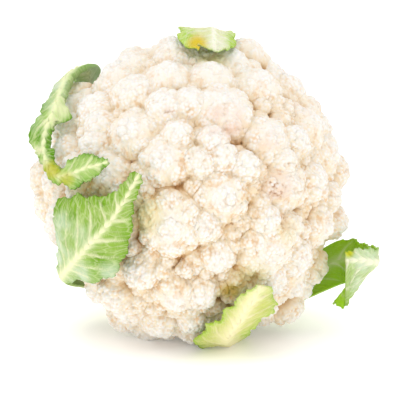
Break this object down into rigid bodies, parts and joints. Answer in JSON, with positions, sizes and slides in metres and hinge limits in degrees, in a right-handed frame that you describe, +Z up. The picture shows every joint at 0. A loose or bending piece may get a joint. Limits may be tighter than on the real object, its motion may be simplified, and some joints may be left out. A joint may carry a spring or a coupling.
{
  "type": "cauliflower",
  "caption": "Trimmed cauliflower head of fused white florets with its stalk and green wrapper leaves, lying on its rim with the curd turned up to the front",
  "frame": {"origin": "on the floor plane, under the centre of the bounding box", "axes": "+X to the viewer's right as pictured, +Y away from the viewer, +Z up. The head's own axis leans 45 degrees towards the viewer (-Y) from upright, so the curd faces up and to the front and the stalk lies low at the back."},
  "size_m": [0.1918, 0.1786, 0.1691],
  "materials": {
    "curd": "matte, finely grained curd",
    "stalk": "satin, fleshy",
    "leaf": "satin, with a pale rib and veins"
  },
  "bodies": {
    "root": {"head": "curd", "stalk": "stalk", "leaf_back_bottom": "leaf", "leaf_back_left": "leaf", "leaf_back_right": "leaf", "leaf_back_top": "leaf", "leaf_back_upper_right": "leaf", "leaf_bottom": "leaf", "leaf_left_large": "leaf", "leaf_right": "leaf", "leaf_top": "leaf", "leaf_upper_left": "leaf"}
  },
  "joints": []
}
